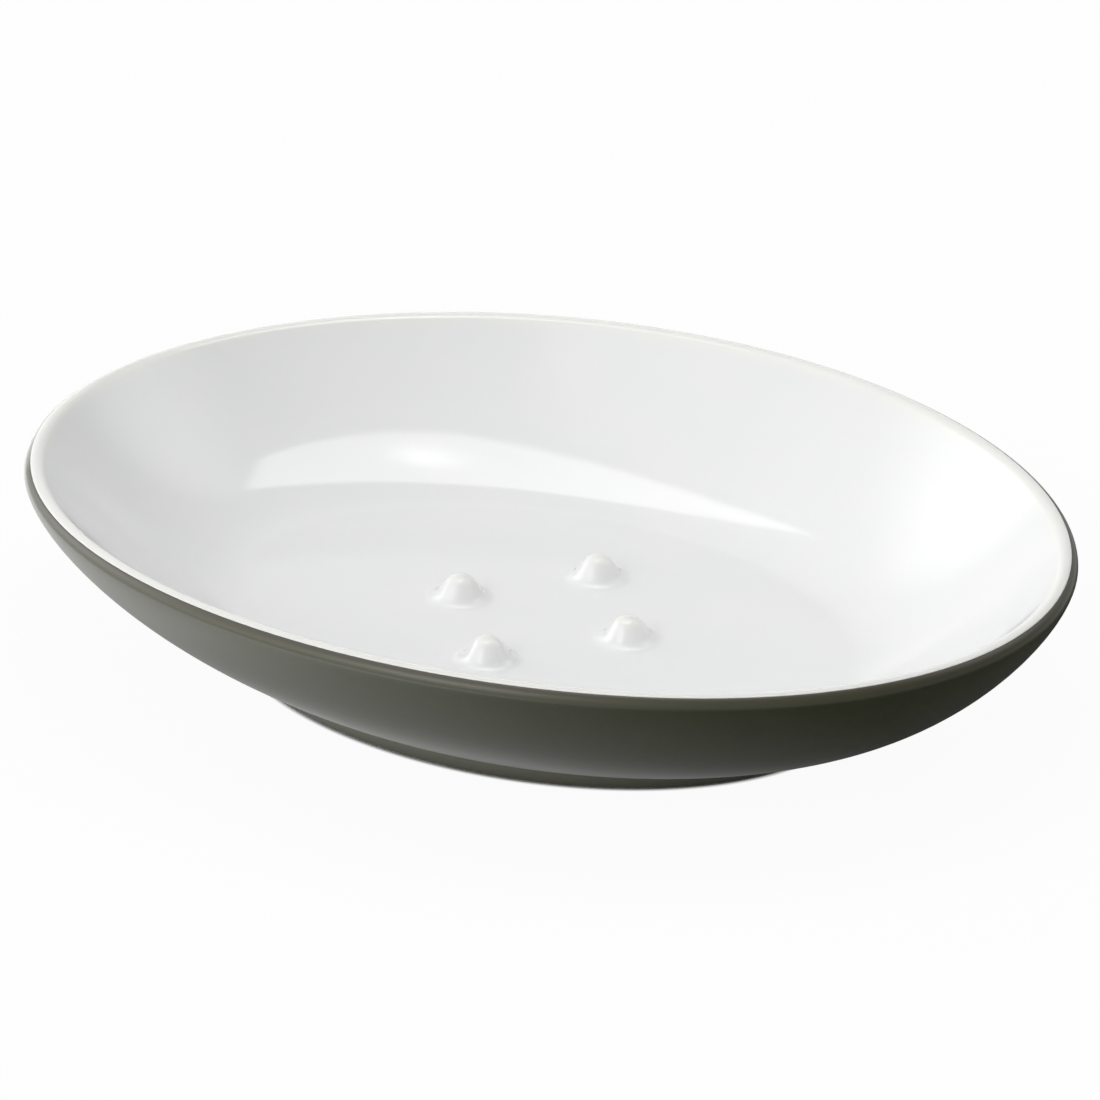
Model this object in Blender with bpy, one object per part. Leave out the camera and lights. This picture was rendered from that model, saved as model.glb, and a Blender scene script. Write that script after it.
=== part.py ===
"""Oval stoneware soap dish: a clay shell with four floor studs, glazed white inside and dark outside.

The long side runs along X, Z is up, and the origin is on the table under the middle of the dish.
All lengths are in metres.
"""
import math

import bmesh
import bpy
from mathutils import Vector

# Whole dish, measured over the glaze; the rim dips a little towards the two ends
dish_length = 0.1400
dish_width = 0.1069
end_rim_height = 0.0232
side_rim_height = 0.0246
lip_radius = 0.0015

# The outside leaves the foot level and stands upright under the lip; more rounding turns it up sooner
wall_rounding = 1.3
end_wall_power = 1.68
side_wall_power = 1.22

# Foot ring, and the recess that it goes round
foot_length = 0.0846
foot_width = 0.0614
foot_height = 0.0026
foot_fillet = 0.0010
foot_ring_width = 0.0042
recess_depth = 0.0020
recess_fillet = 0.0008

# Inside: a level floor, and a wall that curls up from it and runs into the lip at a slope
floor_length = 0.0830
floor_width = 0.0590
floor_height = 0.0066
bowl_slope = math.radians(48)

# Studs that keep the soap off the floor: a cross of four, turned a little from the dish's own axes
stud_height = 0.0032
stud_tip_radius = 0.0024
stud_flare_radius = 0.0022
stud_flank_angle = math.radians(55)
end_stud_reach = 0.0122
side_stud_reach = 0.0138
stud_cross_turn = math.radians(2.6)

# Glaze coats: the seat gap lies between a coat and the clay, and where two coats meet on the lip
glaze_thickness = 0.0004
seat_gap = 0.0003
bare_foot_band = 0.0004
parting_angle = math.radians(62)

# Facets
dish_segments = 64
wall_steps = 7
outer_lip_steps = 2
inner_lip_steps = 4
fillet_steps = 2
stud_segments = 16
stud_arc_steps = 3
sharp_edge_angle = math.radians(40)

half_length = dish_length / 2
half_width = dish_width / 2
half_foot_length = foot_length / 2
half_foot_width = foot_width / 2


def steps(first, last, count):
    """Evenly spaced values from first to last, both included."""
    return [first + (last - first) * step / count for step in range(count + 1)]


def oval_loop(long_reach, short_reach, end_height, side_height):
    """Points of one oval, higher or lower at its ends than at its sides."""
    loop = []
    for step in range(dish_segments):
        angle = 2 * math.pi * step / dish_segments
        along = math.cos(angle)
        across = math.sin(angle)
        height = end_height * along**2 + side_height * across**2
        loop.append(Vector((long_reach * along, short_reach * across, height)))
    return loop


def lip_loop(angle):
    """One oval on the round of the lip: 0 faces outwards, a quarter turn is the crest."""
    outwards = lip_radius * math.cos(angle) - lip_radius
    upwards = lip_radius * math.sin(angle) - lip_radius
    return oval_loop(half_length + outwards, half_width + outwards,
                     end_rim_height + upwards, side_rim_height + upwards)


def outer_profile(foot_reach, lip_reach, lip_height, power):
    """Reach and height up the outside, from the foot's fillet to the lip, closer together at both."""
    profile = []
    for angle in steps(0, math.pi, wall_steps)[:-1]:
        rise = (1 - math.cos(angle)) / 2
        spring = 1 - (1 - rise)**wall_rounding
        profile.append((foot_reach + (lip_reach - foot_reach) * spring**(1 / power),
                        foot_height + (lip_height - foot_height) * rise))
    return profile


def bowl_profile(floor_reach, lip_reach, lip_height):
    """Reach and height up the inside, from the floor to the lip, which it meets at the bowl's slope."""
    power = math.tan(bowl_slope) * (lip_reach - floor_reach) / (lip_height - floor_height)
    profile = []
    for angle in steps(0, math.pi, wall_steps)[:-1]:
        rise = (1 - math.cos(angle)) / 2
        profile.append((floor_reach + (lip_reach - floor_reach) * rise**(1 / power),
                        floor_height + (lip_height - floor_height) * rise))
    return profile


def wall_loops(end_profile, side_profile):
    """Ovals up a wall that has one profile at its ends and another at its sides."""
    loops = []
    for (end_reach, end_height), (side_reach, side_height) in zip(end_profile, side_profile):
        loops.append(oval_loop(end_reach, side_reach, end_height, side_height))
    return loops


def outer_loops():
    """The finished outside, from the bare band at the foot up to the parting line on the lip."""
    loops = [oval_loop(half_foot_length, half_foot_width, bare_foot_band, bare_foot_band)]
    for angle in steps(0, math.pi / 2, fillet_steps)[:-1]:
        outwards = foot_fillet * (1 - math.cos(angle))
        height = foot_height - foot_fillet * (1 - math.sin(angle))
        loops.append(oval_loop(half_foot_length + outwards, half_foot_width + outwards, height, height))
    end_profile = outer_profile(half_foot_length + foot_fillet, half_length, end_rim_height - lip_radius,
                                end_wall_power)
    side_profile = outer_profile(half_foot_width + foot_fillet, half_width, side_rim_height - lip_radius,
                                 side_wall_power)
    loops += wall_loops(end_profile, side_profile)
    half_parting = seat_gap / lip_radius / 2
    loops += [lip_loop(angle) for angle in steps(0, parting_angle - half_parting, outer_lip_steps)]
    return loops


def bowl_loops():
    """The finished inside, from the parting line on the lip down to the edge of the level floor."""
    half_parting = seat_gap / lip_radius / 2
    lip_end = math.pi / 2 + bowl_slope
    inset = lip_radius * (1 - math.cos(lip_end))
    drop = lip_radius * (1 - math.sin(lip_end))
    loops = [lip_loop(angle) for angle in steps(parting_angle + half_parting, lip_end, inner_lip_steps)]
    end_profile = bowl_profile(floor_length / 2, half_length - inset, end_rim_height - drop)
    side_profile = bowl_profile(floor_width / 2, half_width - inset, side_rim_height - drop)
    return loops + wall_loops(end_profile, side_profile)[::-1]


def recess_loops():
    """The finished underside within the foot ring, from its level ceiling out to the bare band."""
    loops = []
    for angle in steps(math.pi / 2, 0, fillet_steps):
        inwards = foot_ring_width + recess_fillet * (1 - math.cos(angle))
        height = recess_depth - recess_fillet * (1 - math.sin(angle))
        loops.append(oval_loop(half_foot_length - inwards, half_foot_width - inwards, height, height))
    loops.append(oval_loop(half_foot_length - foot_ring_width, half_foot_width - foot_ring_width,
                           bare_foot_band, bare_foot_band))
    return loops


def foot_loops():
    """The two edges of the standing face, inner edge first."""
    inner = oval_loop(half_foot_length - foot_ring_width, half_foot_width - foot_ring_width, 0, 0)
    outer = oval_loop(half_foot_length, half_foot_width, 0, 0)
    return [inner, outer]


def stud_profile():
    """Radius and height above the floor of a stud: a concave flare, a straight flank, a round tip."""
    arcs = (stud_tip_radius + stud_flare_radius) * (1 - math.cos(stud_flank_angle))
    flank = (stud_height - arcs) / math.sin(stud_flank_angle)
    tip_edge = stud_tip_radius * math.sin(stud_flank_angle)
    flare_edge = tip_edge + flank * math.cos(stud_flank_angle)
    foot_radius = flare_edge + stud_flare_radius * math.sin(stud_flank_angle)

    profile = []
    for angle in steps(0, stud_flank_angle, stud_arc_steps):
        radius = foot_radius - stud_flare_radius * math.sin(angle)
        profile.append((radius, stud_flare_radius * (1 - math.cos(angle))))
    for angle in steps(stud_flank_angle, 0, stud_arc_steps)[:-1]:
        height = stud_height - stud_tip_radius * (1 - math.cos(angle))
        profile.append((stud_tip_radius * math.sin(angle), height))
    return profile


def stud_places():
    """Centres of the four studs on the floor, each a quarter turn on from the last."""
    places = []
    for number, reach in enumerate((end_stud_reach, side_stud_reach) * 2):
        angle = stud_cross_turn + number * math.pi / 2
        places.append(Vector((reach * math.cos(angle), reach * math.sin(angle), floor_height)))
    return places


def new_verts(bm, points):
    return [bm.verts.new(point) for point in points]


def loft(bm, loops):
    """Quads from each loop of vertices to the next, turning with them."""
    for lower, upper in zip(loops, loops[1:]):
        for index in range(len(lower)):
            after = (index + 1) % len(lower)
            bm.faces.new((lower[index], lower[after], upper[after], upper[index]))


def loop_edges(bm, loop):
    """The edges that join a loop's vertices in turn, made where they are missing."""
    edges = []
    for index, vert in enumerate(loop):
        after = loop[(index + 1) % len(loop)]
        edges.append(bm.edges.get((vert, after)) or bm.edges.new((vert, after)))
    return edges


def add_stud(bm, centre):
    """One stud on its centre, open below; gives back the edges of its foot."""
    rings = []
    for radius, height in stud_profile():
        points = []
        for step in range(stud_segments):
            angle = 2 * math.pi * step / stud_segments
            points.append(centre + Vector((radius * math.cos(angle), radius * math.sin(angle), height)))
        rings.append(new_verts(bm, points))
    loft(bm, rings)
    apex = bm.verts.new(centre + Vector((0, 0, stud_height)))
    for index, vert in enumerate(rings[-1]):
        bm.faces.new((vert, rings[-1][(index + 1) % stud_segments], apex))
    return loop_edges(bm, rings[0])


def add_floor(bm, edge_loop):
    """The level floor inside edge_loop, with the studs standing up out of it."""
    outline = loop_edges(bm, edge_loop)
    for centre in stud_places():
        outline += add_stud(bm, centre)
    bmesh.ops.triangle_fill(bm, use_beauty=True, edges=outline, normal=(0, 0, 1))


def sink(bm, depth):
    """Move the whole surface inwards by depth, square to its faces."""
    bm.normal_update()
    moves = [(vert, vert.normal * depth * vert.calc_shell_factor()) for vert in bm.verts]
    for vert, move in moves:
        vert.co -= move


def ceramic_material(name, colour, roughness):
    material = bpy.data.materials.new(name)
    material.use_nodes = True
    shader = material.node_tree.nodes["Principled BSDF"]
    shader.inputs["Base Color"].default_value = (*colour, 1)
    shader.inputs["Roughness"].default_value = roughness
    shader.inputs["Metallic"].default_value = 0
    return material


def add_object(name, bm, material):
    mesh = bpy.data.meshes.new(name)
    bm.to_mesh(mesh)
    bm.free()
    mesh.shade_smooth()
    mesh.set_sharp_from_angle(angle=sharp_edge_angle)
    mesh.materials.append(material)
    piece = bpy.data.objects.new(name, mesh)
    bpy.context.scene.collection.objects.link(piece)
    return piece


def add_coat(name, bm, material):
    """A glaze coat: the finished surface given its thickness towards the clay."""
    coat = add_object(name, bm, material)
    solidify = coat.modifiers.new("glaze thickness", "SOLIDIFY")
    solidify.thickness = glaze_thickness
    solidify.offset = -1
    solidify.use_even_offset = True


def build_clay():
    """The fired clay: the finished surface sunk by a coat and its seat gap, and a bare foot."""
    bm = bmesh.new()
    recess = [new_verts(bm, loop) for loop in recess_loops()]
    foot = [new_verts(bm, loop) for loop in foot_loops()]
    outside = [new_verts(bm, loop) for loop in outer_loops()]
    bowl = [new_verts(bm, loop) for loop in bowl_loops()]
    loft(bm, recess + foot + outside + bowl)
    bm.faces.new(reversed(recess[0]))
    add_floor(bm, bowl[-1])
    sink(bm, glaze_thickness + seat_gap)
    for loop in foot:
        for vert in loop:
            vert.co.z = 0
    add_object("stoneware_body", bm, ceramic_material("bare stoneware", (0.62, 0.55, 0.46), 0.8))


def build_inner_glaze():
    bm = bmesh.new()
    bowl = [new_verts(bm, loop) for loop in bowl_loops()]
    loft(bm, bowl)
    add_floor(bm, bowl[-1])
    add_coat("inner_glaze", bm, ceramic_material("white gloss glaze", (0.86, 0.86, 0.85), 0.08))


def build_outer_glaze():
    bm = bmesh.new()
    loft(bm, [new_verts(bm, loop) for loop in outer_loops()])
    add_coat("outer_glaze", bm, ceramic_material("grey-green satin glaze", (0.085, 0.09, 0.07), 0.35))


def build_base_glaze():
    bm = bmesh.new()
    recess = [new_verts(bm, loop) for loop in recess_loops()]
    loft(bm, recess)
    bm.faces.new(reversed(recess[0]))
    add_coat("base_glaze", bm, ceramic_material("grey-green base glaze", (0.085, 0.09, 0.07), 0.35))


for existing in list(bpy.data.objects):
    bpy.data.objects.remove(existing)
build_clay()
build_inner_glaze()
build_outer_glaze()
build_base_glaze()
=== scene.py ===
"""Oval stoneware soap dish, white inside and dark grey-green outside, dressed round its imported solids.

The long side runs along X, Z is up, and the origin is on the table under the middle of the dish.
All lengths are in metres.
"""
import math

import bmesh
import bpy
from mathutils import Matrix, Vector


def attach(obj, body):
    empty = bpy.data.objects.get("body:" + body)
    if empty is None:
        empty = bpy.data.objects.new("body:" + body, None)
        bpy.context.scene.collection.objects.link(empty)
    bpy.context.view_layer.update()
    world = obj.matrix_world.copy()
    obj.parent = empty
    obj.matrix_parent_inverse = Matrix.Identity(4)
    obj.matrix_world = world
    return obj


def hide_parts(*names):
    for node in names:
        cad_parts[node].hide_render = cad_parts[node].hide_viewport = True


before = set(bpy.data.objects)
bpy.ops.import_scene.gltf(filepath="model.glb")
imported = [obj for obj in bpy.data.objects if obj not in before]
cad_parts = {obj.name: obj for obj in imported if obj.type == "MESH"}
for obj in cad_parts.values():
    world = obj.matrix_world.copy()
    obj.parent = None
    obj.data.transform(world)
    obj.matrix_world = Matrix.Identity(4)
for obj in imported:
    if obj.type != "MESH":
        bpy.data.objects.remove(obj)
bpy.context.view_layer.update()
bpy.ops.object.select_all(action="DESELECT")


# Fired clay: the pressed stoneware shell, hidden under its glazes except on the foot ring's standing face,
# which is wiped clean before the firing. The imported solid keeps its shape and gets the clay's own grain.
clay_colour = "C9B79E"
clay_shade_colour = "B7A185"
iron_speck_colour = "6E5138"
clay_roughness = 0.85
clay_refraction = 1.5
clay_patch_size = 0.006
clay_grit_size = 0.0004
clay_grit_depth = 0.00008
clay_grit_strength = 0.5
iron_speck_spacing = 0.0016
iron_speck_share = 0.14
iron_speck_core = 0.6


def linear(hex_colour):
    """An sRGB hex colour as linear red, green, blue and full alpha."""
    colour = []
    for start in (0, 2, 4):
        channel = int(hex_colour[start:start + 2], 16) / 255
        colour.append(channel / 12.92 if channel <= 0.04045 else ((channel + 0.055) / 1.055) ** 2.4)
    return (*colour, 1)


def add_node(tree, kind, inputs, output="", **settings):
    """Add a shader node with its own settings, and inputs that are plain values or other nodes' outputs.

    Gives back the output that is asked for, or else the node's first one.
    """
    node = tree.nodes.new("ShaderNode" + kind)
    for setting, value in settings.items():
        setattr(node, setting, value)
    for socket in node.inputs:
        if socket.identifier not in inputs:
            continue
        value = inputs[socket.identifier]
        if isinstance(value, bpy.types.NodeSocket):
            tree.links.new(value, socket)
        else:
            socket.default_value = value
    for socket in node.outputs:
        if socket.identifier == output or not output:
            return socket


def new_material(name):
    """An empty material, its node tree, and the object coordinates that its patterns read."""
    material = bpy.data.materials.new(name)
    material.use_nodes = True
    tree = material.node_tree
    tree.nodes.clear()
    return material, tree, tree.nodes.new("ShaderNodeTexCoord").outputs["Object"]


# Bisque-fired stoneware is dry and matt. The eye sees warm beige patches, dark iron specks and fine grit.
bisque_stoneware, tree, place = new_material("bisque-fired stoneware")
patches = add_node(tree, "TexNoise", {"Vector": place, "Scale": 1 / clay_patch_size, "Detail": 3})
clay_tone = add_node(tree, "Mix", {"Factor_Float": patches, "A_Color": linear(clay_colour),
                                   "B_Color": linear(clay_shade_colour)},
                     output="Result_Color", data_type="RGBA")
specks = add_node(tree, "TexVoronoi", {"Vector": place, "Scale": 1 / iron_speck_spacing})
speck_mask = add_node(tree, "MapRange", {"Value": specks, "From Min": iron_speck_share,
                                         "From Max": iron_speck_share * iron_speck_core})
clay_and_specks = add_node(tree, "Mix", {"Factor_Float": speck_mask, "A_Color": clay_tone,
                                         "B_Color": linear(iron_speck_colour)},
                           output="Result_Color", data_type="RGBA")
grit = add_node(tree, "TexNoise", {"Vector": place, "Scale": 1 / clay_grit_size, "Detail": 4})
grit_bump = add_node(tree, "Bump", {"Height": grit, "Strength": clay_grit_strength,
                                    "Distance": clay_grit_depth})
clay_look = add_node(tree, "BsdfPrincipled", {"Base Color": clay_and_specks, "Roughness": clay_roughness,
                                              "IOR": clay_refraction, "Normal": grit_bump})
add_node(tree, "OutputMaterial", {"Surface": clay_look})
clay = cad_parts["stoneware_body"]
clay.material_slots[0].material = bisque_stoneware


# Dark glaze outside: one satin coat fused to the clay, from a wiped line just above the table, round the
# fillet of the foot and up the wall to the parting line, a little outside the crest of the lip.
half_length = 0.0700
half_width = 0.053449
rim_height = 0.02459
rim_end_dip = 0.0014
lip_radius = 0.0015
parting_angle = math.radians(62)
wall_rounding = 1.3
half_foot_length = 0.0423
half_foot_width = 0.0307
bare_foot_band = 0.0002
foot_height = 0.0026
foot_fillet = 0.0010
end_wall_power = 1.68
side_wall_power = 1.22
coat_depth = 0.0007
coat_edge_round = 0.00012
coat_edge_angle = math.radians(60)
smooth_angle = math.radians(40)
ring_points = 192
wall_steps = 48
lip_step = math.radians(7)
fillet_steps = 8


def arc_angles(first, last, count):
    """Evenly spaced angles from first to last, both included."""
    return [first + (last - first) * step / count for step in range(count + 1)]


def wall_rings(low, top, rounding, end_power, side_power):
    """Ovals up a wall that leaves low level: half length, half width, height.

    A rounding of 1 lets it reach the top at a slope, and a larger one stands it upright there.
    """
    rings = []
    for angle in arc_angles(0, math.pi, wall_steps):
        rise = (1 - math.cos(angle)) / 2
        spring = 1 - (1 - rise) ** rounding
        rings.append((low[0] + (top[0] - low[0]) * spring ** (1 / end_power),
                      low[1] + (top[1] - low[1]) * spring ** (1 / side_power),
                      low[2] + (top[2] - low[2]) * rise))
    return rings


def lip_rings(first, last):
    """Ovals round the lip: angle 0 faces outwards, a quarter turn is the crest."""
    rings = []
    for angle in arc_angles(first, last, round((last - first) / lip_step)):
        inset = lip_radius * (1 - math.cos(angle))
        drop = lip_radius * (1 - math.sin(angle))
        rings.append((half_length - inset, half_width - inset, rim_height - drop))
    return rings


def add_shell(name, rings):
    """A circle fitted to the first oval and extruded through the others, as one open sheet."""
    bpy.ops.mesh.primitive_circle_add(vertices=ring_points, radius=1, location=(0, 0, 0))
    shell = bpy.context.object
    shell.name = name
    shell.data.name = name
    bpy.ops.object.mode_set(mode="EDIT")
    bpy.ops.transform.resize(value=(*rings[0][:2], 1), center_override=(0, 0, 0))
    bpy.ops.transform.translate(value=(0, 0, rings[0][2]))
    for (length, width, height), (next_length, next_width, next_height) in zip(rings, rings[1:]):
        bpy.ops.mesh.extrude_edges_move(TRANSFORM_OT_translate={"value": (0, 0, next_height - height)})
        bpy.ops.transform.resize(value=(next_length / length, next_width / width, 1),
                                 center_override=(0, 0, 0))
    bpy.ops.object.mode_set(mode="OBJECT")
    return shell


def mark_glaze(piece, look, start, end):
    """Store where the glaze takes on a look: nothing of it at height start, all of it at height end."""
    layers = piece.data.attributes
    layer = layers.get(look) or layers.new(look, "FLOAT", "POINT")
    for vert in piece.data.vertices:
        share = min(max((vert.co.z - start) / (end - start), 0), 1)
        layer.data[vert.index].value = max(layer.data[vert.index].value, share)


def dip_ends(piece, low_height, wall_height):
    """Lower the rim towards the two ends of the oval, fading down the wall to nothing at low_height."""
    for vert in piece.data.vertices:
        rise = min(max((vert.co.z - low_height) / wall_height, 0), 1)
        if rise > 0:
            along = (vert.co.x / half_length) ** 2
            across = (vert.co.y / half_width) ** 2
            vert.co.z -= rim_end_dip * rise * along / (along + across)


def thicken_coat(piece, faces_up):
    """Turn the sheet's faces to the open side, then give it soft edges and its depth down to the clay."""
    bpy.ops.object.select_all(action="DESELECT")
    bpy.context.view_layer.objects.active = piece
    piece.select_set(True)
    upward_area = sum(face.normal.z * face.area for face in piece.data.polygons)
    if (upward_area > 0) != faces_up:
        piece.data.flip_normals()
    coat = piece.modifiers.new("coat", "SOLIDIFY")
    coat.thickness = coat_depth
    coat.offset = -1
    coat.use_even_offset = True
    edges = piece.modifiers.new("soft edges", "BEVEL")
    edges.width = coat_edge_round
    edges.segments = 2
    edges.limit_method = "ANGLE"
    edges.angle_limit = coat_edge_angle
    for modifier in [coat, edges]:
        bpy.ops.object.modifier_apply(modifier=modifier.name)
    bpy.ops.object.shade_smooth_by_angle(angle=smooth_angle)


foot_rings = [(half_foot_length, half_foot_width, bare_foot_band)]
for angle in arc_angles(0, math.pi / 2, fillet_steps)[:-1]:
    flare = foot_fillet * (1 - math.cos(angle))
    foot_rings.append((half_foot_length + flare, half_foot_width + flare,
                       foot_height - foot_fillet * (1 - math.sin(angle))))
outside_rings = foot_rings + wall_rings(
    (half_foot_length + foot_fillet, half_foot_width + foot_fillet, foot_height),
    (half_length, half_width, rim_height - lip_radius), wall_rounding, end_wall_power, side_wall_power)[:-1]
outside_rings += lip_rings(0, parting_angle)
dark_glaze = add_shell("dark_glaze", outside_rings)
mark_glaze(dark_glaze, "thin_glaze", rim_height - lip_radius, outside_rings[-1][2])
# The glaze thins towards the wiped line, and its darker brown there also serves as painted shade at the
# contact.
mark_glaze(dark_glaze, "thin_glaze", foot_height / 2, bare_foot_band)
# Painted highlight: a pale band along the fillet just above the foot.
mark_glaze(dark_glaze, "painted_foot_highlight", foot_height + foot_fillet / 2, foot_height - foot_fillet / 2)
dip_ends(dark_glaze, foot_height, rim_height - lip_radius - foot_height)
thicken_coat(dark_glaze, False)

# Satin glaze is a glass full of tiny crystals. The eye sees a soft broad sheen over a mottled grey-green,
# browner where the coat thins over an edge and towards the table, where that brown also stands in for
# painted shade at the foot. A pale band along the fillet above the foot is a painted highlight, and a
# painted sheen pales the lip's left end where it is seen edge-on. The crystals are drawn at 0.3 mm so that
# they show.
dark_glaze_colour = "35381F"
dark_glaze_deep_colour = "2D301A"
dark_glaze_thin_and_shade_colour = "34311E"
painted_highlight_colour = "737565"
painted_sheen_colour = "D8D8CF"
sheen_end = (-0.068, -0.006, rim_height)
sheen_reach = 0.012
sheen_fading = 0.012
glaze_cloud_size = 0.012
crystal_size = 0.0003
crystal_depth = 0.00003
crystal_strength = 0.25
mottle_deep = 0.12
mottle_light = 0.42
satin_roughness = 0.36
satin_roughness_change = 0.03
satin_refraction = 1.5
satin_glaze, tree, place = new_material("grey-green satin glaze")
clouds = add_node(tree, "TexNoise", {"Vector": place, "Scale": 1 / glaze_cloud_size, "Detail": 3})
crystals = add_node(tree, "TexNoise", {"Vector": place, "Scale": 1 / crystal_size, "Detail": 2})
mottle = add_node(tree, "Math", {"Value": clouds, "Value_001": crystals}, operation="MULTIPLY")
mottle_share = add_node(tree, "MapRange", {"Value": mottle, "From Min": mottle_deep,
                                           "From Max": mottle_light})
mottled_tone = add_node(tree, "Mix", {"Factor_Float": mottle_share,
                                      "A_Color": linear(dark_glaze_deep_colour),
                                      "B_Color": linear(dark_glaze_colour)},
                        output="Result_Color", data_type="RGBA")
# The painted highlight along the foot's fillet, mixed in as a paler tone.
foot_highlight_mask = add_node(tree, "Attribute", {}, output="Fac", attribute_name="painted_foot_highlight")
highlight_tone = add_node(tree, "Mix", {"Factor_Float": foot_highlight_mask, "A_Color": mottled_tone,
                                     "B_Color": linear(painted_highlight_colour)},
                       output="Result_Color", data_type="RGBA")
thin = add_node(tree, "Attribute", {}, output="Fac", attribute_name="thin_glaze")
edge_tone = add_node(tree, "Mix", {"Factor_Float": thin, "A_Color": highlight_tone,
                                   "B_Color": linear(dark_glaze_thin_and_shade_colour)},
                     output="Result_Color", data_type="RGBA")
# Painted sheen: near the lip's left end the dark glaze's thin edge is painted pale, as it looks seen
# edge-on.
off_end = add_node(tree, "VectorMath", {"Vector": place, "Vector_001": sheen_end},
                   output="Value", operation="DISTANCE")
near_end = add_node(tree, "MapRange", {"Value": off_end, "From Min": sheen_reach + sheen_fading,
                                       "From Max": sheen_reach})
end_sheen = add_node(tree, "Math", {"Value": thin, "Value_001": near_end}, operation="MULTIPLY")
sheen_tone = add_node(tree, "Mix", {"Factor_Float": end_sheen, "A_Color": edge_tone,
                                   "B_Color": linear(painted_sheen_colour)},
                     output="Result_Color", data_type="RGBA")
sheen = add_node(tree, "MapRange", {"Value": clouds, "To Min": satin_roughness - satin_roughness_change,
                                    "To Max": satin_roughness + satin_roughness_change})
crystal_bump = add_node(tree, "Bump", {"Height": crystals, "Strength": crystal_strength,
                                       "Distance": crystal_depth})
satin_look = add_node(tree, "BsdfPrincipled", {"Base Color": sheen_tone, "Roughness": sheen,
                                               "IOR": satin_refraction, "Normal": crystal_bump})
add_node(tree, "OutputMaterial", {"Surface": satin_look})
dark_glaze.data.materials.append(satin_glaze)
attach(dark_glaze, "root")
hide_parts("outer_glaze")


# Dark glaze underneath: a patch of the same satin coat in the shallow recess that the foot ring goes round.
# It was poured in and wiped off the ring, so it ends just above the table too.
foot_ring_width = 0.0042
recess_depth = 0.0020
recess_fillet = 0.0008
recess_level_inset = 0.0060

recess_rings = [(half_foot_length - foot_ring_width, half_foot_width - foot_ring_width, bare_foot_band)]
for angle in arc_angles(0, math.pi / 2, fillet_steps):
    inset = foot_ring_width + recess_fillet * (1 - math.cos(angle))
    recess_rings.append((half_foot_length - inset, half_foot_width - inset,
                         recess_depth - recess_fillet * (1 - math.sin(angle))))
recess_rings.append((half_foot_length - recess_level_inset, half_foot_width - recess_level_inset,
                     recess_depth))
underside_glaze = add_shell("underside_glaze", recess_rings)
bpy.ops.object.mode_set(mode="EDIT")
bpy.ops.mesh.fill(use_beauty=True)
bpy.ops.object.mode_set(mode="OBJECT")
mark_glaze(underside_glaze, "thin_glaze", recess_depth / 2, bare_foot_band)
thicken_coat(underside_glaze, False)
underside_glaze.data.materials.append(satin_glaze)
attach(underside_glaze, "root")
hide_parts("base_glaze")


# White glaze inside: one gloss coat over the floor, its four soap studs, the bowl and the crest of the lip.
# The studs are pressed with the clay and keep the soap off the floor; the glaze fillets their feet.
half_floor_length = 0.0415
half_floor_width = 0.0295
floor_height = 0.0066
floor_level_inset = 0.0010
bowl_slope = math.radians(48)
stud_count = 4
stud_height = 0.0032
stud_tip_radius = 0.0024
stud_flare_radius = 0.0022
stud_flank_angle = math.radians(55)
stud_level_margin = 0.0005
end_stud_reach = 0.0122
side_stud_reach = 0.0138
stud_cross_turn = math.radians(2.6)
stud_points = 64
stud_steps = 12

# The powers make the bowl's curve meet the lip at the bowl's slope, both at the ends and at the sides.
lip_end = math.pi / 2 + bowl_slope
lip_end_length = half_length - lip_radius * (1 - math.cos(lip_end))
lip_end_width = half_width - lip_radius * (1 - math.cos(lip_end))
bowl_depth = rim_height - lip_radius * (1 - math.sin(lip_end)) - floor_height
end_bowl_power = math.tan(bowl_slope) * (lip_end_length - half_floor_length) / (bowl_depth - rim_end_dip)
side_bowl_power = math.tan(bowl_slope) * (lip_end_width - half_floor_width) / bowl_depth

bowl_rings = [(half_floor_length - floor_level_inset, half_floor_width - floor_level_inset, floor_height)]
bowl_rings += wall_rings((half_floor_length, half_floor_width, floor_height),
                         (lip_end_length, lip_end_width, floor_height + bowl_depth),
                         1, end_bowl_power, side_bowl_power)[:-1]
bowl_rings += lip_rings(parting_angle, lip_end)[::-1]
white_glaze = add_shell("white_glaze", bowl_rings)
mark_glaze(white_glaze, "thin_glaze", rim_height - lip_radius, rim_height)
dip_ends(white_glaze, floor_height, bowl_depth)


def stud_rings():
    """Radius and height of a stud: level margin, concave flare, straight flank, round tip."""
    arc_drop = (stud_tip_radius + stud_flare_radius) * (1 - math.cos(stud_flank_angle))
    flank = (stud_height - arc_drop) / math.sin(stud_flank_angle)
    tip_edge = stud_tip_radius * math.sin(stud_flank_angle)
    flare_edge = tip_edge + flank * math.cos(stud_flank_angle)
    foot_radius = flare_edge + stud_flare_radius * math.sin(stud_flank_angle)
    rings = [(foot_radius + stud_level_margin, floor_height)]
    for angle in arc_angles(0, stud_flank_angle, stud_steps):
        rings.append((foot_radius - stud_flare_radius * math.sin(angle),
                      floor_height + stud_flare_radius * (1 - math.cos(angle))))
    for angle in arc_angles(stud_flank_angle, 0, stud_steps):
        rings.append((stud_tip_radius * math.sin(angle),
                      floor_height + stud_height - stud_tip_radius * (1 - math.cos(angle))))
    return rings


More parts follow.
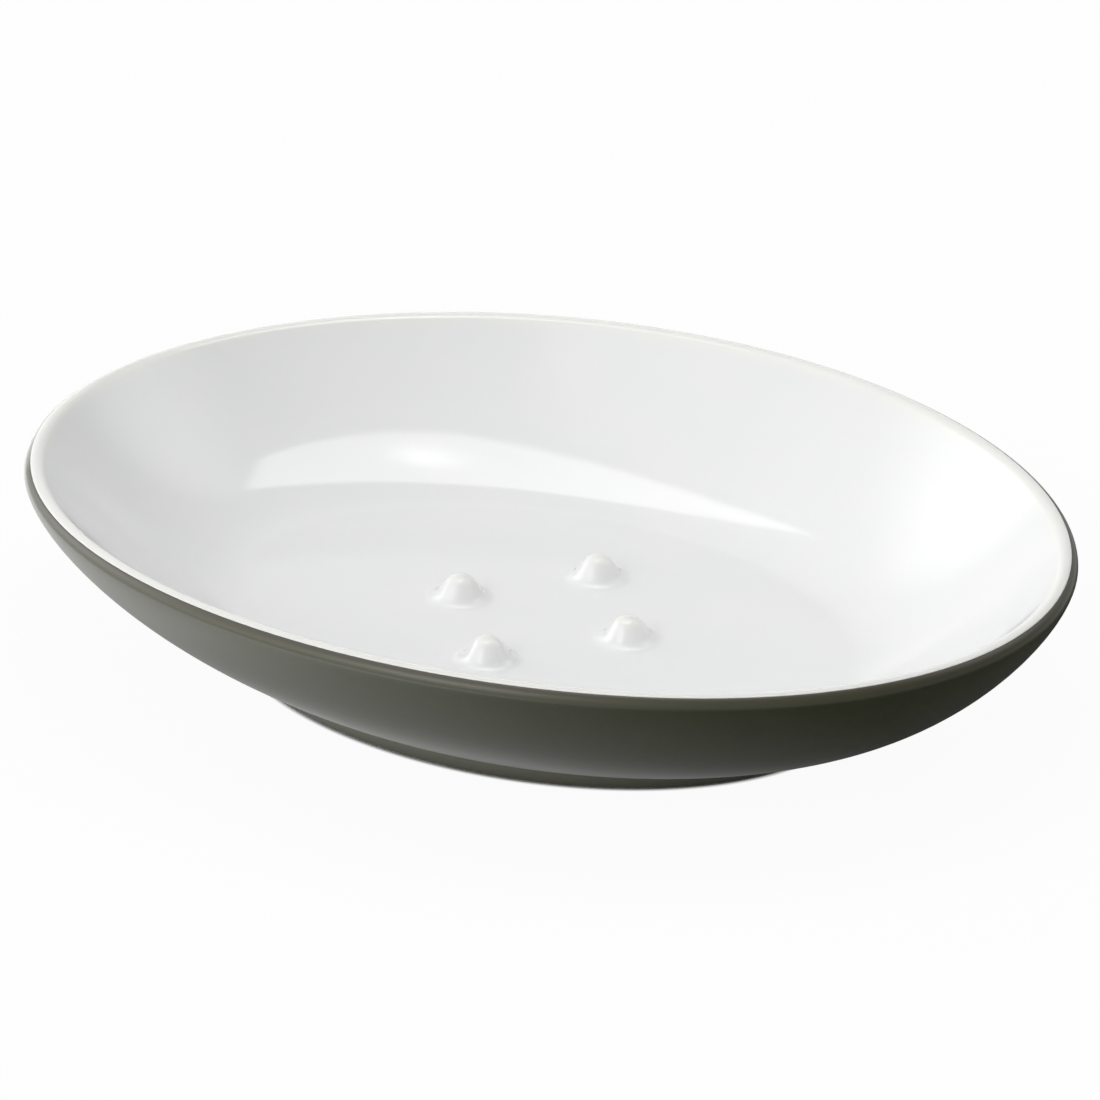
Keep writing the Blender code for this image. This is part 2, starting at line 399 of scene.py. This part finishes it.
# One stud is drawn up from its foot, closed at its tip, copied to its places and joined to the bowl.
rings = stud_rings()
bpy.ops.mesh.primitive_circle_add(vertices=stud_points, radius=rings[0][0], location=(0, 0, 0))
stud = bpy.context.object
bpy.ops.object.mode_set(mode="EDIT")
bpy.ops.transform.translate(value=(0, 0, floor_height))
for (radius, height), (next_radius, next_height) in zip(rings[:-1], rings[1:-1]):
    bpy.ops.mesh.extrude_edges_move(TRANSFORM_OT_translate={"value": (0, 0, next_height - height)})
    share = next_radius / radius
    bpy.ops.transform.resize(value=(share, share, 1), center_override=(0, 0, 0))
bpy.ops.mesh.extrude_edges_move(TRANSFORM_OT_translate={"value": (0, 0, rings[-1][1] - rings[-2][1])})
bpy.ops.mesh.merge(type="CENTER")
bpy.ops.object.mode_set(mode="OBJECT")
mark_glaze(stud, "thin_glaze", floor_height + stud_height / 2, floor_height + stud_height)

studs = [stud]
for _ in range(stud_count - 1):
    bpy.ops.object.duplicate()
    studs.append(bpy.context.object)
for number, stud in enumerate(studs):
    reach = (end_stud_reach, side_stud_reach)[number % 2]
    angle = stud_cross_turn + number * 2 * math.pi / stud_count
    stud.location = (reach * math.cos(angle), reach * math.sin(angle), 0)
    stud.select_set(True)
white_glaze.select_set(True)
bpy.context.view_layer.objects.active = white_glaze
bpy.ops.object.join()

# The floor fills what lies between the bowl's lower edge and the studs.
bpy.ops.object.mode_set(mode="EDIT")
sheet = bmesh.from_edit_mesh(white_glaze.data)
for edge in sheet.edges:
    edge.select_set(edge.is_boundary and edge.verts[0].co.z < floor_height + stud_height)
bpy.ops.mesh.fill(use_beauty=True)
bpy.ops.mesh.select_all(action="SELECT")
bpy.ops.mesh.normals_make_consistent(inside=False)
bpy.ops.object.mode_set(mode="OBJECT")
thicken_coat(white_glaze, True)

# Gloss glaze is a smooth glass over a white slip. The eye sees clean sharp reflections with a slight wave,
# a few pinholes, and a creamier white where the coat thins over the lip and the tips of the studs.
white_glaze_colour = "F2F2F1"
white_glaze_cool_colour = "EEEFF0"
white_glaze_thin_colour = "F3F3EF"
gloss_roughness = 0.07
gloss_refraction = 1.52
glaze_wave_size = 0.009
glaze_wave_depth = 0.0001
glaze_wave_strength = 0.3
pinhole_spacing = 0.006
pinhole_share = 0.03
pinhole_depth = 0.00005
pinhole_strength = 0.4
gloss_glaze, tree, place = new_material("white gloss glaze")
clouds = add_node(tree, "TexNoise", {"Vector": place, "Scale": 1 / glaze_cloud_size, "Detail": 3})
white_tone = add_node(tree, "Mix", {"Factor_Float": clouds, "A_Color": linear(white_glaze_colour),
                                    "B_Color": linear(white_glaze_cool_colour)},
                      output="Result_Color", data_type="RGBA")
thin = add_node(tree, "Attribute", {}, output="Fac", attribute_name="thin_glaze")
edge_tone = add_node(tree, "Mix", {"Factor_Float": thin, "A_Color": white_tone,
                                   "B_Color": linear(white_glaze_thin_colour)},
                     output="Result_Color", data_type="RGBA")
wave = add_node(tree, "TexNoise", {"Vector": place, "Scale": 1 / glaze_wave_size, "Detail": 1})
wave_bump = add_node(tree, "Bump", {"Height": wave, "Strength": glaze_wave_strength,
                                    "Distance": glaze_wave_depth})
pinholes = add_node(tree, "TexVoronoi", {"Vector": place, "Scale": 1 / pinhole_spacing})
pinhole_height = add_node(tree, "MapRange", {"Value": pinholes, "From Max": pinhole_share})
pinhole_bump = add_node(tree, "Bump", {"Height": pinhole_height, "Strength": pinhole_strength,
                                       "Distance": pinhole_depth, "Normal": wave_bump})
gloss_look = add_node(tree, "BsdfPrincipled", {"Base Color": edge_tone, "Roughness": gloss_roughness,
                                               "IOR": gloss_refraction, "Normal": pinhole_bump})
add_node(tree, "OutputMaterial", {"Surface": gloss_look})
white_glaze.data.materials.append(gloss_glaze)
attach(white_glaze, "root")
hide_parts("inner_glaze")


# Camera: at the photograph's viewing angle, a long lens a little under a metre away. It points a little to
# the right of the point under the dish's middle, and a little above it.
view_azimuth = math.radians(32.6)
view_elevation = math.radians(24.92)
camera_distance = 0.8589
aim_right = 0.00085
aim_up = 0.01452
lens_millimetres = 222.97
sensor_millimetres = 36
nearest_seen = 0.01
furthest_seen = 10

right = Vector((math.cos(view_azimuth), math.sin(view_azimuth), 0))
away = Vector((-math.sin(view_azimuth), math.cos(view_azimuth), 0))
upright = Vector((0, 0, 1))
back = upright * math.sin(view_elevation) - away * math.cos(view_elevation)
up = back.cross(right)
bpy.ops.object.camera_add(location=right * aim_right + up * aim_up + back * camera_distance)
camera = bpy.context.object
camera.rotation_euler = back.to_track_quat("Z", "Y").to_euler()
camera.data.lens = lens_millimetres
camera.data.sensor_width = sensor_millimetres
camera.data.clip_start = nearest_seen
camera.data.clip_end = furthest_seen
bpy.context.scene.camera = camera
bpy.context.scene.view_settings.view_transform = "Standard"


# Studio floor: a white matt board that the dish stands on. The eye sees it near white, save for the shadow
# right under the foot. The gloss sees a painted glow instead: bright on the lit side, a painted shadow on
# the dish's shadow side and at the foot, and white further off. The shares listed here are distances from
# the dish's middle, where 1 is the foot's outline.
floor_size = 4
floor_colour = "F4F4F4"
paper_white = linear("FFFFFF")
floor_glow = 0.95
contact_shadow_share = 1.02
foot_shadow_share = 1.006
foot_glow_share = 1.25
foot_glow_gain = 2.2
overhang_share = 1.4
open_board_share = 3.2
white_board_share = 7
board_lit_side = -0.055
board_shadow_side = 0.045
board_shadow_strength = 0.09
overhung_lit_strength = 0.72
open_lit_strength = 3.6

bpy.ops.mesh.primitive_plane_add(size=floor_size, location=(0, 0, 0))
studio_floor = bpy.context.object
studio_floor.name = "studio_floor"
floor_board, tree, place = new_material("white matt board")
board = add_node(tree, "BsdfDiffuse", {"Color": linear(floor_colour)})
glow = add_node(tree, "Emission", {"Color": paper_white, "Strength": 1})
foot_shares = add_node(tree, "Mapping", {"Vector": place,
                                         "Scale": (1 / half_foot_length, 1 / half_foot_width, 1)})
foot_share = add_node(tree, "VectorMath", {"Vector": foot_shares}, output="Value", operation="LENGTH")


def seen_rays(tree, *kinds):
    """1 where a ray is of one of the kinds, such as Is Camera Ray, else 0."""
    seen = 0
    for kind in kinds:
        ray = add_node(tree, "LightPath", {}, output=kind)
        seen = add_node(tree, "Math", {"Value": seen, "Value_001": ray}, operation="MAXIMUM")
    return seen


# The eye sees the board's glow, and close to the foot only the board as it is lit, with its shadow.
past_contact = add_node(tree, "MapRange", {"Value": foot_share, "From Min": 1,
                                           "From Max": contact_shadow_share, "To Max": floor_glow})
eye_share = add_node(tree, "Math", {"Value": seen_rays(tree, "Is Camera Ray"), "Value_001": past_contact},
                     operation="MULTIPLY")
seen_board = add_node(tree, "MixShader", {"Fac": eye_share, "Shader": board, "Shader_001": glow})

# The gloss sees a painted glow, its strength set by how far out and how far to the shadow side a place
# lies.
sideways = add_node(tree, "VectorMath", {"Vector": place, "Vector_001": right},
                    output="Value", operation="DOT_PRODUCT")
lit_side = add_node(tree, "MapRange", {"Value": sideways, "From Min": board_shadow_side,
                                       "From Max": board_lit_side})
lit_share = add_node(tree, "Math", {"Value": lit_side, "Value_001": lit_side}, operation="MULTIPLY")
overhung_strength = add_node(tree, "MapRange", {"Value": lit_side, "To Min": board_shadow_strength,
                                                "To Max": overhung_lit_strength})
open_strength = add_node(tree, "MapRange", {"Value": lit_share, "To Min": board_shadow_strength,
                                            "To Max": open_lit_strength})
open_share = add_node(tree, "MapRange", {"Value": foot_share, "From Min": overhang_share,
                                         "From Max": open_board_share})
lit_strength = add_node(tree, "Mix", {"Factor_Float": open_share, "A_Float": overhung_strength,
                                      "B_Float": open_strength}, output="Result_Float")
# Painted shadow right at the foot, and a painted pool of light just past it.
past_foot = add_node(tree, "MapRange", {"Value": foot_share, "From Min": 1, "From Max": foot_shadow_share})
foot_gain = add_node(tree, "MapRange", {"Value": foot_share, "From Min": 1, "From Max": foot_glow_share,
                                        "To Min": foot_glow_gain, "To Max": 1})
foot_strength = add_node(tree, "Math", {"Value": past_foot, "Value_001": foot_gain}, operation="MULTIPLY")
near_strength = add_node(tree, "Math", {"Value": lit_strength, "Value_001": foot_strength},
                         operation="MULTIPLY")
far_share = add_node(tree, "MapRange", {"Value": foot_share, "From Min": open_board_share,
                                        "From Max": white_board_share})
strength = add_node(tree, "Mix", {"Factor_Float": far_share, "A_Float": near_strength, "B_Float": 1},
                    output="Result_Float")
painted_board_glow = add_node(tree, "Emission", {"Color": paper_white, "Strength": strength})
mirror_share = seen_rays(tree, "Is Glossy Ray", "Is Transmission Ray")
floor_look = add_node(tree, "MixShader", {"Fac": mirror_share, "Shader": seen_board,
                                          "Shader_001": painted_board_glow})
add_node(tree, "OutputMaterial", {"Surface": floor_look})
studio_floor.data.materials.append(floor_board)


# Studio air: a faint even light from all round. The eye sees it plain white past the floor, and the gloss
# mirrors it brighter on the lit side of the studio than on the other.
ambient_strength = 0.275
side_contrast = 2.5
studio_air = bpy.data.worlds.new("studio air")
bpy.context.scene.world = studio_air
studio_air.use_nodes = True
tree = studio_air.node_tree
tree.nodes.clear()
ambient = add_node(tree, "Background", {"Color": paper_white, "Strength": ambient_strength})
direction = add_node(tree, "TexCoord", {}, output="Generated")
leftness = add_node(tree, "VectorMath", {"Vector": direction, "Vector_001": -right},
                    output="Value", operation="DOT_PRODUCT")
side_strength = add_node(tree, "Math", {"Value": side_contrast, "Value_001": leftness}, operation="POWER")
mirrored_air = add_node(tree, "Background", {"Color": paper_white, "Strength": side_strength})
mirror_share = seen_rays(tree, "Is Glossy Ray", "Is Transmission Ray")
air = add_node(tree, "MixShader", {"Fac": mirror_share, "Shader": ambient, "Shader_001": mirrored_air})
backdrop = add_node(tree, "Background", {"Color": paper_white, "Strength": 1})
eye_share = seen_rays(tree, "Is Camera Ray")
seen_air = add_node(tree, "MixShader", {"Fac": eye_share, "Shader": air, "Shader_001": backdrop})
add_node(tree, "OutputWorld", {"Surface": seen_air})


# Softboxes: diffused lamps set out round the dish and aimed at it, bright in the middle and fading to their
# edges, so that the gloss mirrors them as soft patches. The hump of light peaks at 1/16 until it is scaled.
softbox_distance = 1.4
hump_scale = 16


def add_lamp(name, place, across, outwards, size, radiance):
    """A flat lamp out of the eye's sight, which still needs its pattern; radiance 1 looks paper white.

    Its width runs along across, its back faces outwards, and size is its width and height.
    """
    bpy.ops.object.light_add(type="AREA", location=place)
    lamp = bpy.context.object
    lamp.name = name
    lamp.rotation_euler = Matrix((across, outwards.cross(across), outwards)).transposed().to_euler()
    lamp.visible_camera = False
    lamp.data.shape = "RECTANGLE"
    lamp.data.size, lamp.data.size_y = size
    lamp.data.energy = math.pi * size[0] * size[1] * radiance
    lamp.data.use_nodes = True
    lamp.data.node_tree.nodes.clear()
    return lamp.data.node_tree


def finish_lamp(tree, pattern):
    """Light the lamp by its pattern, which runs from 0 to 1."""
    lit = add_node(tree, "Emission", {"Strength": pattern})
    add_node(tree, "OutputLight", {"Surface": lit})


def add_softbox(name, turn, climb, size, radiance):
    """A softbox, turned so many degrees to the right of the camera and raised so many from the table."""
    turn = math.radians(turn)
    climb = math.radians(climb)
    outwards = (right * math.sin(turn) - away * math.cos(turn)) * math.cos(climb)
    outwards += upright * math.sin(climb)
    across = right * math.cos(turn) + away * math.sin(turn)
    tree = add_lamp(name, outwards * softbox_distance, across, outwards, size, radiance)
    spot = add_node(tree, "NewGeometry", {}, output="Parametric")
    rest = add_node(tree, "VectorMath", {"Vector": (1, 1, 1), "Vector_001": spot}, operation="SUBTRACT")
    humps = add_node(tree, "VectorMath", {"Vector": spot, "Vector_001": rest}, operation="MULTIPLY")
    sideways = add_node(tree, "SeparateXYZ", {"Vector": humps}, output="X")
    upwards = add_node(tree, "SeparateXYZ", {"Vector": humps}, output="Y")
    hump = add_node(tree, "Math", {"Value": sideways, "Value_001": upwards}, operation="MULTIPLY")
    fading = add_node(tree, "Math", {"Value": hump, "Value_001": hump_scale}, operation="MULTIPLY")
    finish_lamp(tree, fading)


add_softbox("low_left", turn=-82, climb=9, size=(1.3, 0.4), radiance=1.2)
add_softbox("back_left", turn=-118, climb=24, size=(1.2, 0.9), radiance=2.1)
add_softbox("back_right", turn=112, climb=42, size=(1.3, 1.0), radiance=1.4)
add_softbox("front_left", turn=-42, climb=32, size=(0.8, 0.7), radiance=4.2)
add_softbox("low_back", turn=180, climb=14, size=(1.2, 0.5), radiance=0.3)


# Key panel: the main light, a tall one leaning in from the left, with its upper edge level and along the
# view. It fades in towards the camera. The far wall mirrors its upper edge as a soft step in the white.
key_climb = math.radians(40)
key_distance = 1.2
key_edge_slope = -0.38
key_back = 0.0
key_full = -0.65
key_front = -1.7
key_radiance = 0.85

# The panel's height brings its upper edge to key_edge_slope metres right of the dish for each metre up.
key_outwards = upright * math.sin(key_climb) - right * math.cos(key_climb)
key_rise = upright * math.cos(key_climb) + right * math.sin(key_climb)
middle = key_outwards * key_distance
key_height = 2 * (key_edge_slope * middle.z - middle.dot(right)) / (
    key_rise.dot(right) - key_edge_slope * key_rise.z)
tree = add_lamp("key_panel", middle + away * (key_back + key_front) / 2, away, key_outwards,
                (key_back - key_front, key_height), key_radiance)
spot = add_node(tree, "NewGeometry", {}, output="Position")
along = add_node(tree, "VectorMath", {"Vector": spot, "Vector_001": away},
                 output="Value", operation="DOT_PRODUCT")
fading = add_node(tree, "MapRange", {"Value": along, "From Min": key_back, "From Max": key_full})
finish_lamp(tree, fading)


# Overhead scrim: a level sheet of diffusion cloth lit from above. Its lit patch is a crescent, which the
# bowl mirrors as the long highlight. Its places are shares of its height over the dish.
scrim_height = 1.2
scrim_left_share = -0.76
scrim_right_share = 0.46
scrim_near_share = -0.20
scrim_far_share = 0.60
near_edge_bend = 1.448
near_edge_slope = 0.181
near_edge_share = -0.142
far_edge_bend = 0.769
far_edge_slope = 0.262
far_edge_share = 0.279
scrim_edge_softness = 0.03
scrim_radiance = 2.8

middle = (right * (scrim_left_share + scrim_right_share) / 2
          + away * (scrim_near_share + scrim_far_share) / 2)
tree = add_lamp("overhead_scrim", (middle + upright) * scrim_height, right, upright,
                ((scrim_right_share - scrim_left_share) * scrim_height,
                 (scrim_far_share - scrim_near_share) * scrim_height), scrim_radiance)
spot = add_node(tree, "NewGeometry", {}, output="Position")
share = add_node(tree, "VectorMath", {"Vector": spot, "Scale": 1 / scrim_height}, operation="SCALE")
sideways = add_node(tree, "VectorMath", {"Vector": share, "Vector_001": right},
                    output="Value", operation="DOT_PRODUCT")
along = add_node(tree, "VectorMath", {"Vector": share, "Vector_001": away},
                 output="Value", operation="DOT_PRODUCT")
lit_patch = add_node(tree, "MapRange", {"Value": sideways, "From Min": scrim_right_share,
                                        "From Max": scrim_right_share - 2 * scrim_edge_softness})
# The near and the far edge of the lit patch are parabolas, each with a short soft step.
for side, bend, slope, offset in ((1, near_edge_bend, near_edge_slope, near_edge_share),
                                  (-1, far_edge_bend, far_edge_slope, far_edge_share)):
    steepness = add_node(tree, "Math", {"Value": sideways, "Value_001": bend, "Value_002": slope},
                         operation="MULTIPLY_ADD")
    edge = add_node(tree, "Math", {"Value": sideways, "Value_001": steepness, "Value_002": offset},
                    operation="MULTIPLY_ADD")
    past_edge = add_node(tree, "Math", {"Value": along, "Value_001": edge}, operation="SUBTRACT")
    within = add_node(tree, "MapRange", {"Value": past_edge, "From Min": -side * scrim_edge_softness / 2,
                                         "From Max": side * scrim_edge_softness / 2})
    lit_patch = add_node(tree, "Math", {"Value": lit_patch, "Value_001": within}, operation="MULTIPLY")
finish_lamp(tree, lit_patch)


# Overhead bulb: the hot spot where the lamp behind the scrim shines through the cloth. It lies just under
# the cloth and fades out from its middle, and the bowl mirrors it as the brightest part of the crescent.
bulb_right_share = -0.040
bulb_away_share = 0.010
bulb_size = 0.3
bulb_drop = 0.01
bulb_radiance = 3

middle = right * bulb_right_share + away * bulb_away_share + upright
bulb_place = middle * scrim_height - upright * bulb_drop
tree = add_lamp("overhead_bulb", bulb_place, right, upright, (bulb_size, bulb_size), bulb_radiance)
spot = add_node(tree, "NewGeometry", {}, output="Position")
off_middle = add_node(tree, "VectorMath", {"Vector": spot, "Vector_001": bulb_place},
                      output="Value", operation="DISTANCE")
fading = add_node(tree, "MapRange", {"Value": off_middle, "From Min": bulb_size / 2, "From Max": 0},
                  interpolation_type="SMOOTHSTEP")
finish_lamp(tree, fading)
